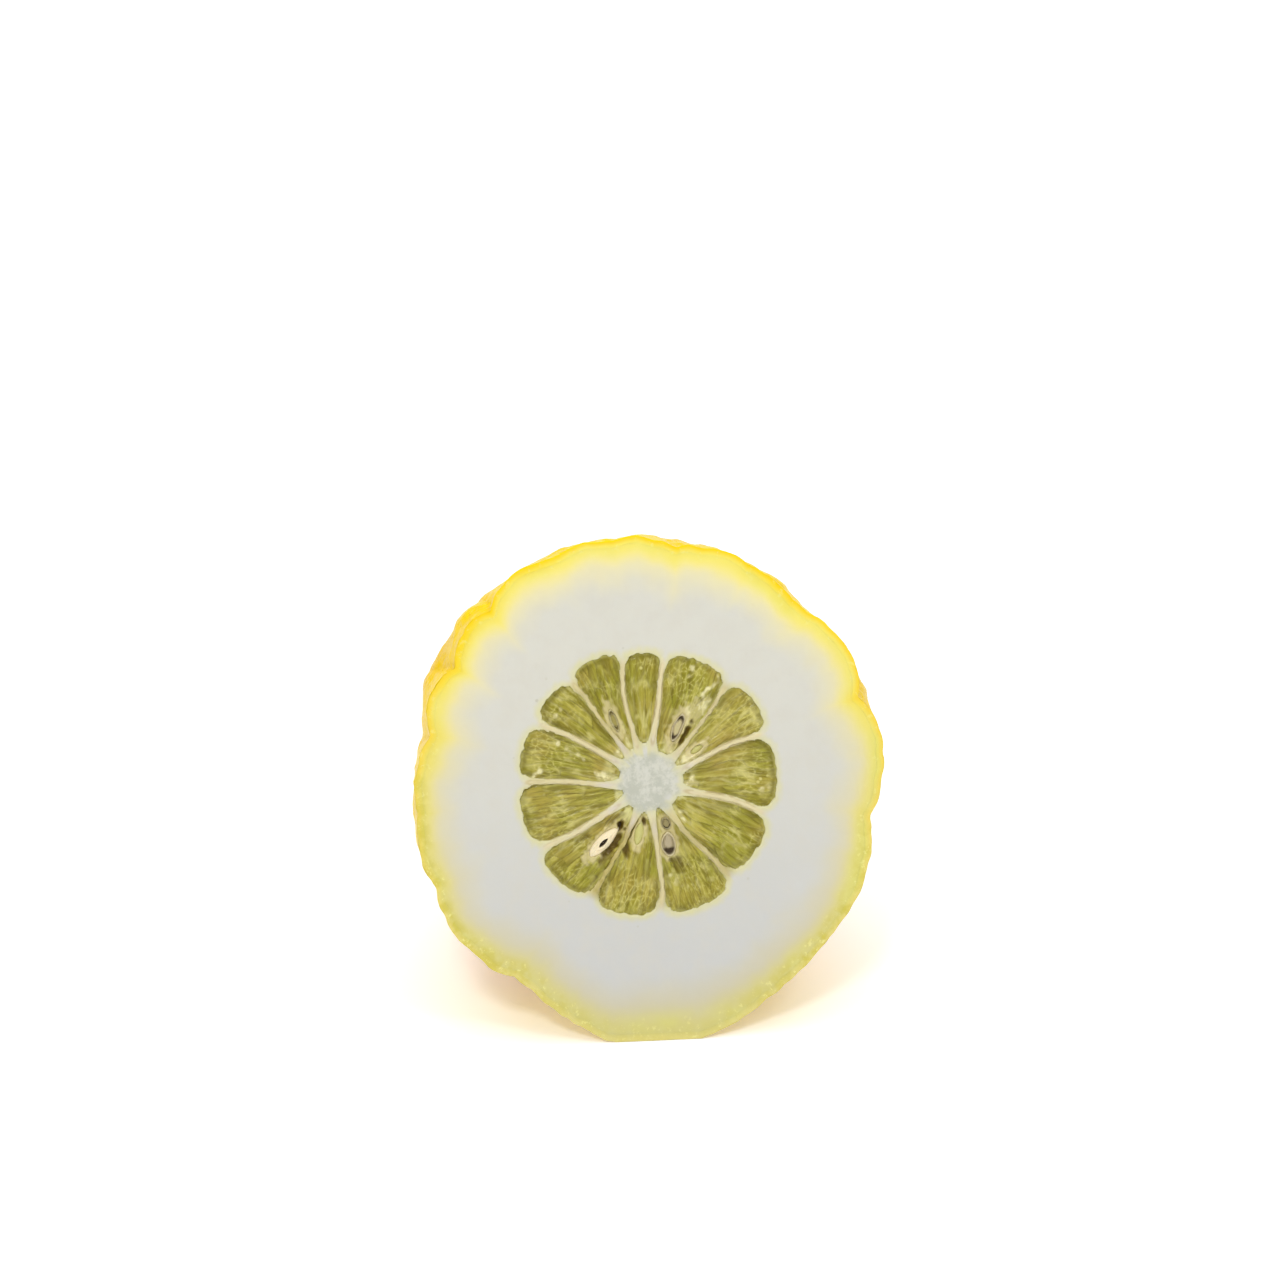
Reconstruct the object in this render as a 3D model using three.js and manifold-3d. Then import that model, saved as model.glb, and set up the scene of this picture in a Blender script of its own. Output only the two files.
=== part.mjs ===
// Half of a ripe citron, cut across the middle and lying on its side with the cut face leaning back.
// A knobbly yellow rind wraps a very thick white pith. The pith carries the core and the thin walls that
// part twelve juicy segments, and seeds lie in some of the segments. The stem button is at the far end.
//
// The fruit is drawn in its own frame: X to the right and Y up in the cut face, Z out of the face,
// with the core at the origin. The whole fruit is then tilted and set on the surface Z = 0.
import * as THREE from "three";
import { mergeVertices } from "three/addons/utils/BufferGeometryUtils.js";
import Module from "manifold-3d";

const wasm = await Module();
wasm.setup();

// ---- Driving dimensions, in millimetres and degrees ----

const halfLength = 80; // from the cut face to the stem end
const faceTilt = 18; // how far the cut face leans back from upright
const coreHeight = 54; // height of the core above the surface, at the cut face
const weightSetback = 28; // the face's core lies this far in front of the origin, which is under the weight
const rindThickness = 1.6;
const gap = 0.3; // clearance between touching pieces

// The rim's outline at the crests of its lobes: radii every 30 degrees, anticlockwise from the right.
const rimRadii = [51.2, 51.4, 51.4, 52.9, 53.2, 51.0, 50.1, 52.6, 53.8, 58.4, 54.6, 52.4];
const roundRadius = 51.3; // further in, the section becomes round
const outlineFade = 18; // the depth over which it does

// Furrows run from the rim to the stem end. Each has its angle at the rim, depth and half width in degrees.
const furrows = [
  { angle: 20, depth: 2.2, width: 7 },
  { angle: 48, depth: 1.6, width: 8 },
  { angle: 82, depth: 1.6, width: 6 },
  { angle: 109, depth: 0.5, width: 5 },
  { angle: 131, depth: 1.5, width: 6 },
  { angle: 147, depth: 1.9, width: 6 },
  { angle: 166, depth: 2.1, width: 6 },
  { angle: 203, depth: 0.8, width: 6 },
  { angle: 239, depth: 2.2, width: 10 },
  { angle: 313, depth: 1.0, width: 12 },
  { angle: 348, depth: 2.5, width: 9 },
];
const furrowPoint = 1.4; // below 2 the bottom of a furrow comes to a crease
const furrowWander = 5; // degrees to either side on the way to the stem end

// Broad swellings, and one hollow underneath, each at an angle and a depth behind the face.
const swellings = [
  { angle: 82, depth: 13, radius: 11, rise: 0.9 },
  { angle: 131, depth: 13, radius: 10, rise: 1.7 },
  { angle: 152, depth: 14, radius: 9, rise: 1.6 },
  { angle: 22, depth: 16, radius: 12, rise: 1.8 },
  { angle: 350, depth: 15, radius: 11, rise: 1.4 },
  { angle: 200, depth: 40, radius: 15, rise: 1.0 },
  { angle: 270, depth: 24, radius: 14, rise: -3.4 },
  { angle: 270, depth: 46, radius: 14, rise: 1.2 },
];

// Warts are spread evenly over the skin by the golden angle.
const wartCount = 52;
const wartRise = 1.3;
const wartRadius = 6.5;
const goldenAngle = THREE.MathUtils.degToRad(137.508);

// The stem end: a shallow dimple, and how far it lies from the axis.
const dimple = { depth: 4, radius: 11 };
const stemOffset = { x: -3, y: 1.5 };

// The walls between the segments, anticlockwise: each wall's angle at the core and at its outer end, how far
// it bends aside between them, and half its thickness.
const walls = [
  { core: 19.5, outer: 21, bend: 2.5, half: 0.4 },
  { core: 42.5, outer: 49.3, bend: 1, half: 0.38 },
  { core: 83.3, outer: 81.9, bend: -0.9, half: 0.48 },
  { core: 106.3, outer: 100.8, bend: 1.3, half: 0.4 },
  { core: 125.6, outer: 125.4, bend: 0, half: 0.4 },
  { core: 145.2, outer: 149.4, bend: 0.2, half: 0.48 },
  { core: 183.5, outer: 178.6, bend: -3.2, half: 0.48 },
  { core: 216, outer: 210.5, bend: 0, half: 0.58 },
  { core: 247, outer: 242, bend: 0.4, half: 0.42 },
  { core: 273.8, outer: 274.3, bend: 2.2, half: 0.46 },
  { core: 302.5, outer: 309.5, bend: 0, half: 0.5 },
  { core: 343.5, outer: 342.3, bend: 2.8, half: 0.6 },
];
const wallFlare = { share: 0.45, fade: 2.5 }; // walls thicken by this share where they join the core
// How far from the centre of the core each segment starts and ends, from the wall of the same number to the
// next.
const segmentStart = [7.2, 7.2, 8.8, 8.1, 7.8, 6.7, 6.2, 6.4, 6.9, 6.3, 7.1, 7.6];
const segmentReach = [28.4, 28.2, 27.9, 29, 28.3, 28, 28, 28.7, 29.2, 29.5, 27.8, 27.7];
const coreRadius = 7.2;
const wallEnd = 27; // the radius where a wall has its outer angle
const segmentDepth = 46; // how far the pulp reaches towards the stem end
const segmentEdge = 1.6; // its thickness at the outer end
const segmentSink = 0.3; // the pulp lies this far below the cut face
const petalSquareness = { inner: 4.2, outer: 4.4 }; // at a segment's two ends: 2 is an oval, more is squarer

// Seeds: the middle of each in the face, its length and width, the way it points and its segment.
const seeds = [
  { x: 6.5, y: 11.5, length: 7.8, width: 2.9, angle: 66, segment: 1, cut: true },
  { x: -10.1, y: -12.7, length: 8.7, width: 2.8, angle: 44, segment: 7, cut: false },
  { x: 4.2, y: -13.7, length: 5.4, width: 3.2, angle: 94, segment: 9, cut: true },
  { x: 3.5, y: -9.1, length: 3, width: 2.4, angle: 108, segment: 9, cut: true },
  { x: -7.1, y: 13.5, length: 6.2, width: 1.9, angle: 110, segment: 3, cut: true },
  { x: 10.8, y: 6.9, length: 4.4, width: 1.7, angle: 34, segment: 0, cut: false },
  { x: -2.3, y: -11.3, length: 5.8, width: 2.2, angle: 79, segment: 8, cut: false },
];
const seedSink = 0.9; // the middle of an uncut seed lies this far below the face

// The stem button: radius against distance from the face, along the axis.
const buttonProfile = [
  [0, 71],
  [2.4, 71],
  [2.4, 76.4],
  [6.6, 77.1],
  [7.2, 77.8],
  [6.2, 78.9],
  [3.7, 79.5],
  [3.1, 81.6],
  [2.5, 82.3],
  [0, 81.9],
];
const buttonLobes = { count: 5, share: 0.17, beyond: 5 };
const pegHole = { radius: 2.7, from: 70.7, to: 78 };

// Facets.
const skinTurns = 72; // round the axis
const skinRows = 15; // from the rim to the stem end
const petalSides = 20;
const buttonSides = 20;

// ---- The skin ----

const radians = THREE.MathUtils.degToRad;
const tilt = radians(faceTilt);

// A smooth closed curve through evenly spaced values, read at an angle.
function closedCurve(values, angle) {
  const count = values.length;
  const place = (((angle / (2 * Math.PI)) % 1) + 1) % 1 * count;
  const first = Math.floor(place);
  const t = place - first;
  const [a, b, c, d] = [-1, 0, 1, 2].map((k) => values[(first + k + count) % count]);
  return b + 0.5 * t * (c - a + t * (2 * a - 5 * b + 4 * c - d + t * (3 * (b - c) + d - a)));
}

// The smooth body under the relief, at an angle round the axis and a latitude from 0 at the rim.
function bodyPoint(angle, latitude) {
  const depth = halfLength * Math.sin(latitude);
  const outline = closedCurve(rimRadii, angle) - roundRadius;
  const radius = (roundRadius + outline * Math.exp(-depth / outlineFade)) * Math.cos(latitude);
  return new THREE.Vector3(radius * Math.cos(angle), radius * Math.sin(angle), -depth);
}

const latitudeAt = (depth) => Math.asin(depth / halfLength);
const bell = (distance, radius) => Math.exp(-((distance / radius) ** 2));

const swellingCentres = swellings.map((s) => bodyPoint(radians(s.angle), latitudeAt(s.depth)));
const wartCentres = Array.from({ length: wartCount }, (_, i) =>
  bodyPoint(i * goldenAngle, latitudeAt((halfLength * (i + 0.5)) / wartCount)),
);

// How far the furrows lower the skin. They fade to nothing at the stem end.
function furrowDepth(angle, latitude) {
  const depth = halfLength * Math.sin(latitude);
  const along = (0.65 + 0.35 * Math.cos(depth / 9)) * Math.cos(latitude);
  let total = 0;
  for (const f of furrows) {
    const centre = f.angle + furrowWander * Math.sin(depth / 14) * Math.sin(f.angle);
    const off = ((THREE.MathUtils.radToDeg(angle) - centre + 540) % 360 + 360) % 360 - 180;
    total += f.depth * along * Math.exp(-(Math.abs(off / f.width) ** furrowPoint));
  }
  return total;
}

// How far swellings and warts raise the skin. Warts stay clear of the rim and of the stem button.
function skinRise(point) {
  const radius = Math.hypot(point.x, point.y);
  const wartShare = (1 - bell(point.z, 9)) * (1 - bell(radius, 15));
  const broad = swellings.reduce(
    (sum, s, i) => sum + s.rise * bell(point.distanceTo(swellingCentres[i]), s.radius),
    0,
  );
  const warty = wartCentres.reduce((sum, centre, i) => {
    const size = 0.5 + 0.5 * Math.abs(Math.sin(2.4 * i));
    return sum + wartRise * size * bell(point.distanceTo(centre), wartRadius * (0.6 + 0.4 * size));
  }, 0);
  return broad + warty * wartShare;
}

// A point of the skin, or of a surface that lies inset below it. It never goes below the resting surface.
function skinPoint(angle, latitude, inset) {
  const body = bodyPoint(angle, latitude);
  const push = skinRise(body) - furrowDepth(angle, latitude) - inset;
  const share = Math.sin(latitude) ** 2;
  const hollow = dimple.depth * bell(Math.hypot(body.x, body.y), dimple.radius) * share;
  const z = body.z - push * Math.sin(latitude) + hollow;
  const x = body.x + push * Math.cos(latitude) * Math.cos(angle) + stemOffset.x * share;
  const y = body.y + push * Math.cos(latitude) * Math.sin(angle) + stemOffset.y * share;
  const lowest = (inset - coreHeight - z * Math.sin(tilt)) / Math.cos(tilt);
  return new THREE.Vector3(x, Math.max(y, lowest), z);
}

// The skin's rings from the stem end to the rim: first a single point, then full rings.
function skinRings(inset) {
  return Array.from({ length: skinRows + 1 }, (_, row) => {
    const latitude = (Math.PI / 2) * (1 - row / skinRows);
    const turns = row === 0 ? 1 : skinTurns;
    return Array.from({ length: turns }, (_, k) => skinPoint((2 * Math.PI * k) / turns, latitude, inset));
  });
}

// ---- Closed solids ----

// A closed geometry through rings of points; the first and last rings are single points.
function throughRings(rings) {
  const corners = rings.flat();
  const starts = rings.map((_, i) => rings.slice(0, i).reduce((sum, ring) => sum + ring.length, 0));
  const index = [];
  for (let i = 0; i + 1 < rings.length; i++) {
    const [below, above] = [rings[i].length, rings[i + 1].length];
    for (let k = 0; k < Math.max(below, above); k++) {
      const a = starts[i] + (k % below);
      const b = starts[i] + ((k + 1) % below);
      const c = starts[i + 1] + (k % above);
      const d = starts[i + 1] + ((k + 1) % above);
      if (below > 1) index.push(a, b, c);
      if (above > 1) index.push(below > 1 ? b : a, d, c);
    }
  }
  const geometry = new THREE.BufferGeometry().setFromPoints(corners);
  geometry.setIndex(index);
  return geometry;
}

function solidOf(geometry) {
  const bare = geometry.clone();
  bare.deleteAttribute("normal");
  bare.deleteAttribute("uv");
  const merged = mergeVertices(bare, 1e-4);
  return new wasm.Manifold(
    new wasm.Mesh({
      numProp: 3,
      vertProperties: merged.attributes.position.array,
      triVerts: new Uint32Array(merged.index.array),
    }),
  );
}

function geometryOf(solid) {
  const mesh = solid.getMesh();
  const geometry = new THREE.BufferGeometry();
  geometry.setAttribute("position", new THREE.BufferAttribute(mesh.vertProperties, 3));
  geometry.setIndex(new THREE.BufferAttribute(mesh.triVerts, 1));
  geometry.computeVertexNormals();
  return geometry;
}

const withoutAll = (solid, cutters) => cutters.reduce((left, cutter) => left.subtract(cutter), solid);

// ---- Rind and pith ----

// Everything below the skin at the given inset, cut off level at the given height.
function bodyWithin(inset, top) {
  const rings = skinRings(inset);
  const rim = rings.at(-1).map((point) => new THREE.Vector3(point.x, point.y, top));
  if (top > 0) rings.push(rim);
  return solidOf(throughRings([...rings, [new THREE.Vector3(0, 0, top)]]));
}

// ---- Segments ----

// A wall's angle at a radius, in degrees: even change from its start to its end, and a parabola for the bend.
function wallAngle(index, radius) {
  const wall = walls[index % walls.length];
  const share = THREE.MathUtils.clamp((radius - coreRadius) / (wallEnd - coreRadius), 0, 1);
  const fullTurns = 360 * Math.floor(index / walls.length);
  return THREE.MathUtils.lerp(wall.core, wall.outer, share) + wall.bend * 4 * share * (1 - share) + fullTurns;
}

// The angle that half a wall takes up at a radius, with some clearance beside it.
function wallMargin(index, radius, clear) {
  const flare = wallFlare.share * Math.exp(-Math.max(radius - coreRadius, 0) / wallFlare.fade);
  return THREE.MathUtils.radToDeg((walls[index % walls.length].half * (1 + flare) + clear) / radius);
}

// The outline of a segment in the cut face, from side 0 at the right and anticlockwise. It is a
// rounded square in the space between two walls, grown outwards by the given amount.
function petalOutline(index, grow, shrink) {
  const inner = segmentStart[index] - grow;
  const outer = segmentReach[index] + grow;
  return Array.from({ length: petalSides }, (_, k) => {
    const turn = (2 * Math.PI * k) / petalSides;
    const power = Math.sin(turn) > 0 ? petalSquareness.outer : petalSquareness.inner;
    const squared = (value) => Math.sign(value) * Math.abs(value) ** (2 / power);
    const across = -squared(Math.cos(turn)) * shrink;
    const radius = inner + ((outer - inner) * (1 + squared(Math.sin(turn)) * shrink)) / 2;
    const low = wallAngle(index, radius) + wallMargin(index, radius, gap - grow);
    const high = wallAngle(index + 1, radius) - wallMargin(index + 1, radius, gap - grow);
    const angle = radians((low + high + across * (high - low)) / 2);
    return [radius * Math.cos(angle), radius * Math.sin(angle), radius];
  });
}

// A segment: level in the face, with upright walls and a floor that rises in a quarter oval
// to its outer end.
function segmentBody(index, grow, top) {
  const reach = segmentReach[index] + grow;
  const floorAt = (radius) => {
    const quarterOval = Math.sqrt(Math.max(0, 1 - (radius / reach) ** 2));
    return -grow - segmentEdge - (segmentDepth - segmentEdge) * quarterOval;
  };
  const ring = (shrink, height) => {
    const outline = petalOutline(index, grow, shrink);
    return outline.map(([x, y, radius]) => new THREE.Vector3(x, y, height ?? floorAt(radius)));
  };
  const [middleX, middleY, middleRadius] = petalOutline(index, grow, 0)[0];
  return solidOf(
    throughRings([
      [new THREE.Vector3(middleX, middleY, floorAt(middleRadius))],
      ring(0.5),
      ring(1),
      ring(1, top),
      [new THREE.Vector3(middleX, middleY, top)],
    ]),
  );
}

// ---- Seeds ----

// A pointed oval seed, its tip towards the core. An oval grown by the gap makes its hollow in the pulp.
function seedBody(seed, grow) {
  const geometry = new THREE.SphereGeometry(1, 12, 8);
  geometry.rotateZ(-Math.PI / 2);
  const corners = geometry.attributes.position;
  for (let i = 0; i < corners.count; i++) {
    const slim = 1 - 0.3 * Math.max(0, -corners.getX(i)) ** 1.5;
    corners.setXYZ(
      i,
      corners.getX(i) * (seed.length / 2 + grow),
      corners.getY(i) * (seed.width / 2 + grow) * slim,
      corners.getZ(i) * (seed.width / 2 + grow) * slim,
    );
  }
  const [across, up] = [seed.x, seed.y];
  const pointsOut = Math.cos(radians(seed.angle)) * across + Math.sin(radians(seed.angle)) * up > 0;
  geometry.rotateZ(radians(seed.angle) + (pointsOut ? 0 : Math.PI));
  geometry.translate(across, up, -seedSink);
  return solidOf(geometry);
}

// ---- Stem button ----

// A turned peg and cap with a lobed edge, its axis along the fruit's.
function buttonGeometry() {
  const geometry = new THREE.LatheGeometry(
    buttonProfile.map(([radius, along]) => new THREE.Vector2(radius, along)),
    buttonSides,
  );
  const corners = geometry.attributes.position;
  for (let i = 0; i < corners.count; i++) {
    const [x, y, z] = [corners.getX(i), corners.getY(i), corners.getZ(i)];
    const lobed = Math.hypot(x, z) > buttonLobes.beyond;
    const stretch = lobed ? 1 + buttonLobes.share * Math.cos(buttonLobes.count * Math.atan2(z, x)) : 1;
    corners.setXYZ(i, x * stretch, y, z * stretch);
  }
  geometry.rotateX(-Math.PI / 2);
  geometry.translate(stemOffset.x, stemOffset.y, 0);
  return geometry;
}

function pegHoleBody() {
  const length = pegHole.to - pegHole.from;
  const geometry = new THREE.CylinderGeometry(pegHole.radius, pegHole.radius, length, buttonSides);
  geometry.rotateX(Math.PI / 2);
  geometry.translate(stemOffset.x, stemOffset.y, -(pegHole.from + pegHole.to) / 2);
  return solidOf(geometry);
}

// ---- Materials ----

const finish = (color, roughness) => new THREE.MeshStandardMaterial({ color, roughness, metalness: 0 });
const rindFinish = finish(0xf2b90c, 0.35);
const pithFinish = finish(0xe9e7dc, 0.8);
const pulpFinish = finish(0xb3ad55, 0.3);
const seedFinish = finish(0xd9c48e, 0.5);
const stemFinish = finish(0x8b8340, 0.85);

// ---- The fruit ----

const fruit = new THREE.Group();
fruit.rotation.x = Math.PI / 2 - tilt;
fruit.position.set(0, -weightSetback, coreHeight);

function addPiece(name, solid, material) {
  const mesh = new THREE.Mesh(geometryOf(solid), material);
  mesh.name = name;
  fruit.add(mesh);
}

const aboveRim = 1; // cutters stand this far out of the cut face
const twoDigits = (number) => String(number).padStart(2, "0");
const hole = pegHoleBody();
const pockets = walls.map((_, index) => segmentBody(index, gap, aboveRim));

addPiece("rind", withoutAll(bodyWithin(0, 0), [bodyWithin(rindThickness, aboveRim), hole]), rindFinish);
addPiece("pith", withoutAll(bodyWithin(rindThickness + gap, 0), [...pockets, hole]), pithFinish);

walls.forEach((_, index) => {
  const hollows = seeds.filter((seed) => seed.segment === index).map((seed) => seedBody(seed, gap));
  const juicy = withoutAll(segmentBody(index, 0, -segmentSink), hollows);
  addPiece(`pulp_${twoDigits(index + 1)}`, juicy, pulpFinish);
});

// A cut seed is level with the cut face; the others are whole.
const aboveFace = solidOf(new THREE.BoxGeometry(100, 100, 10).translate(0, 0, 5));
seeds.forEach((seed, index) => {
  const whole = seedBody(seed, 0);
  addPiece(`seed_${twoDigits(index + 1)}`, seed.cut ? whole.subtract(aboveFace) : whole, seedFinish);
});

addPiece("stem_button", solidOf(buttonGeometry()), stemFinish);

const part = new THREE.Group();
part.add(fruit);

export default part;
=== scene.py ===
import math

import bpy
import numpy as np
from mathutils import Matrix, Vector


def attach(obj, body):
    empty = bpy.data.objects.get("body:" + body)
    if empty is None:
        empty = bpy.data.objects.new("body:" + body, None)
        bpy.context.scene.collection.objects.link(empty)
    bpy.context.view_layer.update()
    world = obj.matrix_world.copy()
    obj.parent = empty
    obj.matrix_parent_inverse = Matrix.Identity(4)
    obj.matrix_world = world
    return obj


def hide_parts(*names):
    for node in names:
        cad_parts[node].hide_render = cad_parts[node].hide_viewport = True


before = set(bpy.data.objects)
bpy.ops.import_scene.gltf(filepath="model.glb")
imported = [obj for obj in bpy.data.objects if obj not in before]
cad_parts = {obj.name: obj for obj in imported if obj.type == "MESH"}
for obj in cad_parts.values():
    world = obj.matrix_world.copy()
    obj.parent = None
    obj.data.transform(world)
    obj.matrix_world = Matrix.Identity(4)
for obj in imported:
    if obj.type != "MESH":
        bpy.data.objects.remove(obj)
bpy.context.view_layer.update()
print("frame loaded:", len(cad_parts), "nodes")

# Shapes are worked out in the fruit's own frame, in millimetres: X to the right and Y up in the cut face,
# Z out of the face, the core at the origin. place() tilts the fruit and sets it on the floor, in metres.
fruit = {
    "faceTilt": 18,  # degrees that the cut face leans back
    "coreHeight": 54,  # of the face's core above the floor
    "weightSetback": 28,  # the face's core lies this far in front of the row's origin
    "halfLength": 80,  # from the cut face to the stem end
    "rimRadii": [51.2, 51.4, 51.4, 52.9, 53.2, 51, 50.1, 52.6, 53.8, 58.4, 54.6, 52.4],  # every 30 degrees
    "roundRadius": 51.3,  # further in, the section becomes round
    "outlineFade": 18,
    "stemOffset": (-3, 1.5),
    "dimpleDepth": 4,
    "dimpleRadius": 11,
}
tilt = math.radians(fruit["faceTilt"])
stemX, stemY = fruit["stemOffset"]


def stacked(*parts):
    # The parts side by side in a last axis, each stretched to the shape that they share.
    return np.stack(np.broadcast_arrays(*parts), -1)


def around(radius, angle):
    return radius * np.cos(angle), radius * np.sin(angle)


def turned(x, y, angle):
    # The point turned anticlockwise about the origin.
    return x * math.cos(angle) - y * math.sin(angle), x * math.sin(angle) + y * math.cos(angle)


def spread(first, last, rows):
    # Even rows from the first value to just short of the last.
    return first + np.linspace(0, 1, rows, endpoint=False)[:, None] * (last - first)


def evenly(x, y, values, count, closed):
    # The values at even steps of the length of a line through x and y.
    length = np.concatenate([[0], np.cumsum(np.hypot(np.diff(x), np.diff(y)))])
    even = np.linspace(0, length[-1], count, endpoint=not closed)
    return [np.interp(even, length, value) for value in values]


def place(points):
    # Turns points by a right angle less the tilt about X, lifts the core to its height and sets it forward.
    x, y, z = np.moveaxis(points, -1, 0)
    forward = y * math.sin(tilt) - z * math.cos(tilt) - fruit["weightSetback"]
    height = y * math.cos(tilt) + z * math.sin(tilt) + fruit["coreHeight"]
    return stacked(x, forward, height) / 1000


def ease(low, high, value):
    # Smooth step: 0 below low, 1 above high, and 3t^2 - 2t^3 between them.
    t = np.clip((value - low) / (high - low), 0, 1)
    return t * t * (3 - 2 * t)


def bell(distance, radius):
    return np.exp(-((distance / radius) ** 2))


def waves(points, length, count, seed):
    # Smooth noise near -1 to 1: a sum of plane sine waves in random directions, of lengths round one length.
    draw = np.random.default_rng(seed)
    directions = draw.normal(size=(count, points.shape[-1]))
    directions /= np.linalg.norm(directions, axis=1, keepdims=True)
    speeds = 2 * np.pi / (length * draw.uniform(0.7, 1.5, count))
    starts = draw.uniform(0, 2 * np.pi, count)
    total = np.zeros(points.shape[:-1])
    for direction, speed, start in zip(directions, speeds, starts):
        total += np.sin(points @ (direction * speed) + start)
    return total / math.sqrt(count)


def cells(points, seeds):
    # Distances from each point to its nearest and second nearest seed, and the nearest one's number.
    nearest = np.full(points.shape[:-1], 1e9)
    second = nearest.copy()
    number = np.zeros(points.shape[:-1], int)
    for index, seed in enumerate(seeds):
        far = np.linalg.norm(points - seed, axis=-1)
        second = np.minimum(second, np.maximum(far, nearest))
        number = np.where(far < nearest, index, number)
        nearest = np.minimum(nearest, far)
    return nearest, second, number


def extended(values, rows, fills):
    # More rows below each of the values' own, all 0 or what fills gives for that value.
    return {name: np.concatenate([value, np.full((rows, value.shape[1]), fills.get(name, 0))])
            for name, value in values.items()}


def tone(red, green, blue):
    # A colour from its screen values of 0 to 255, as the linear light that shaders use.
    screen = np.array([red, green, blue]) / 255
    linear = np.where(screen <= 0.04045, screen / 12.92, ((screen + 0.055) / 1.055) ** 2.4)
    return (*linear.tolist(), 1)


class Wire:
    # A socket of a material that can be added, taken away, multiplied and divided.
    def __init__(self, recipe, socket):
        self.recipe = recipe
        self.socket = socket

    def maths(self, operation, first, second):
        return self.recipe.node("Math", {"operation": operation}, {0: first, 1: second})

    def __add__(self, other):
        return self.maths("ADD", self, other)

    def __sub__(self, other):
        return self.maths("SUBTRACT", self, other)

    def __rsub__(self, other):
        return self.maths("SUBTRACT", other, self)

    def __mul__(self, other):
        return self.maths("MULTIPLY", self, other)

    def __truediv__(self, other):
        return self.maths("DIVIDE", self, other)

    __radd__ = __add__
    __rmul__ = __mul__

    def step(self, low, high):
        # The smooth step of this value between two limits, which falls where low is above high.
        limits = {"Value": self, "From Min": low, "From Max": high}
        return self.recipe.node("MapRange", {"interpolation_type": "SMOOTHSTEP"}, limits)


class Recipe:
    # One material, and the nodes that make it. Its colours are screen values of 0 to 255.
    def __init__(self, name):
        self.material = bpy.data.materials.new(name)
        self.material.use_nodes = True
        self.tree = self.material.node_tree
        self.tree.nodes.clear()

    def node(self, kind, settings, sockets, output=0):
        made = self.tree.nodes.new("ShaderNode" + kind)
        for key, value in settings.items():
            setattr(made, key, value)
        for key, value in sockets.items():
            if isinstance(value, Wire):
                self.tree.links.new(value.socket, made.inputs[key])
            else:
                made.inputs[key].default_value = value
        return Wire(self, made.outputs[output]) if made.outputs else None

    def values(self, *names):
        return [self.node("Attribute", {"attribute_name": name}, {}, 2) for name in names]

    def place(self):
        return self.node("TexCoord", {}, {}, 3)

    def noise(self, at, scale, detail=3, roughness=0.55):
        sockets = {"Vector": at, "Scale": scale, "Detail": detail, "Roughness": roughness}
        return self.node("TexNoise", {}, sockets)

    def spots(self, feature, at, scale, **sockets):
        return self.node("TexVoronoi", {"feature": feature}, {"Vector": at, "Scale": scale, **sockets})

    def mix(self, first, second, share):
        first, second = (tone(*colour) if isinstance(colour, tuple) else colour for colour in (first, second))
        return self.node("Mix", {"data_type": "RGBA"}, {0: share, 6: first, 7: second}, 2)

    def coats(self, colour, *layers):
        # Each layer's colour over the ones before it, by its share.
        for layer, share in layers:
            colour = self.mix(colour, layer, share)
        return colour

    def joined(self, x, y, z):
        return self.node("CombineXYZ", {}, {0: x, 1: y, 2: z})

    def bump(self, height, distance, strength):
        return self.node("Bump", {}, {"Height": height, "Distance": distance, "Strength": strength})

    def finish(self, sockets):
        shader = self.node("BsdfPrincipled", {}, sockets)
        self.node("OutputMaterial", {}, {"Surface": shader})
        return self.material


def ringMesh(name, rings, values, material, slot, *nodes):
    # A closed surface through rings of points. The first and the last ring are each drawn to one point.
    rows, columns = rings.shape[:2]
    points = np.concatenate([rings[:1, 0], rings[1:-1].reshape(-1, 3), rings[-1:, 0]])
    row, column = np.meshgrid(np.arange(rows - 3), np.arange(columns), indexing="ij")
    start, following = 1 + row * columns, (column + 1) % columns
    quads = stacked(start + column, start + following, start + columns + following, start + columns + column)
    quads = quads.reshape(-1, 4)
    around, following = np.arange(columns), following[0]
    lastRing = 1 + (rows - 3) * columns
    firstFan = stacked(0, 1 + following, 1 + around)
    lastFan = stacked(len(points) - 1, lastRing + around, lastRing + following)
    corners = points[firstFan], points[quads[:, :3]], points[lastFan]
    volume = sum(np.einsum("ij,ij->", c[:, 0], np.cross(c[:, 1], c[:, 2])) for c in corners)
    faces = [*firstFan.tolist(), *quads.tolist(), *lastFan.tolist()]
    if volume < 0:
        faces = [face[::-1] for face in faces]
    mesh = bpy.data.meshes.new(name)
    mesh.from_pydata(place(points).tolist(), [], faces)
    mesh.shade_smooth()
    for key, value in values.items():
        value = np.broadcast_to(value, (rows, columns))
        spread = np.concatenate([value[:1, 0], value[1:-1].ravel(), value[-1:, 0]])
        mesh.attributes.new(key, "FLOAT", "POINT").data.foreach_set("value", spread.astype(np.float32))
    mesh.materials.append(material)
    piece = bpy.data.objects.new(name, mesh)
    bpy.context.scene.collection.objects.link(piece)
    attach(piece, "root")
    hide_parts(*nodes)
    print("made", name, "with", len(faces), "faces")


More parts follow.
